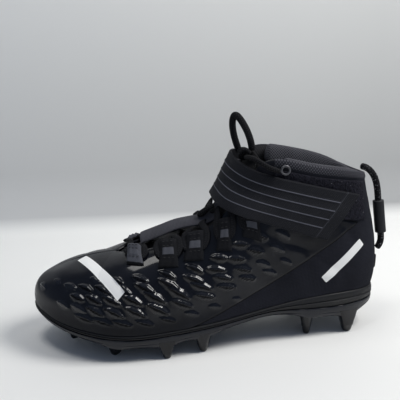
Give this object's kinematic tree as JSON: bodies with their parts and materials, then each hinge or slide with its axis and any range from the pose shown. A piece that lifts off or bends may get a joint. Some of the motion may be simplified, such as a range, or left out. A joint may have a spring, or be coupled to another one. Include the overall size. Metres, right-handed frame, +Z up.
{
  "type": "american football cleat",
  "caption": "Left mid-cut American football cleat with a moulded studded plate, webbing lace loops, an elastic ankle strap, a padded collar and pull cords at tongue and heel.",
  "frame": {"origin": "centre of the shoe's box on the floor plane under the studs' tips", "axes": "+X from the heel to the toe, +Y to the shoe's lateral side, +Z up"},
  "size_m": [0.3136, 0.1058, 0.1912],
  "materials": {
    "plate_plastic": "glossy moulded black",
    "midsole_foam": "matte black foam",
    "insole_cloth": "matte black cloth",
    "upper_skin": "glossy moulded black synthetic skin",
    "tongue_cloth": "matte black textile",
    "collar_mesh": "grey knitted lining",
    "strap_webbing": "matte dark grey elastic webbing",
    "lace_webbing": "woven black tape",
    "loop_fastener": "black brushed loop pile",
    "lace_cord": "black braid",
    "sleeve_rubber": "smooth black rubber",
    "eyelet_metal": "dark grey coated ring"
  },
  "bodies": {
    "root": {"outsole_plate": "plate_plastic", "midsole": "midsole_foam", "insole": "insole_cloth", "upper": "upper_skin", "tongue": "tongue_cloth", "collar_padding": "collar_mesh", "lace_loop_lateral_1": "lace_webbing", "lace_loop_lateral_2": "lace_webbing", "lace_loop_lateral_3": "lace_webbing", "lace_loop_lateral_4": "lace_webbing", "lace_loop_lateral_5": "lace_webbing", "lace_loop_medial_1": "lace_webbing", "lace_loop_medial_2": "lace_webbing", "lace_loop_medial_3": "lace_webbing", "lace_loop_medial_4": "lace_webbing", "lace_loop_medial_5": "lace_webbing", "loop_fastener": "loop_fastener", "heel_webbing": "lace_webbing", "ankle_strap": "strap_webbing", "lace_crossings": "lace_cord", "tongue_pull_cord": "lace_cord", "heel_pull_cord_top": "lace_cord", "heel_pull_cord_foot": "lace_cord", "lace_end_lateral": "lace_cord", "lace_knot": "lace_cord", "lace_bow_loop": "lace_cord", "heel_loop_sleeve": "sleeve_rubber", "lace_eyelet": "eyelet_metal"}
  },
  "joints": []
}
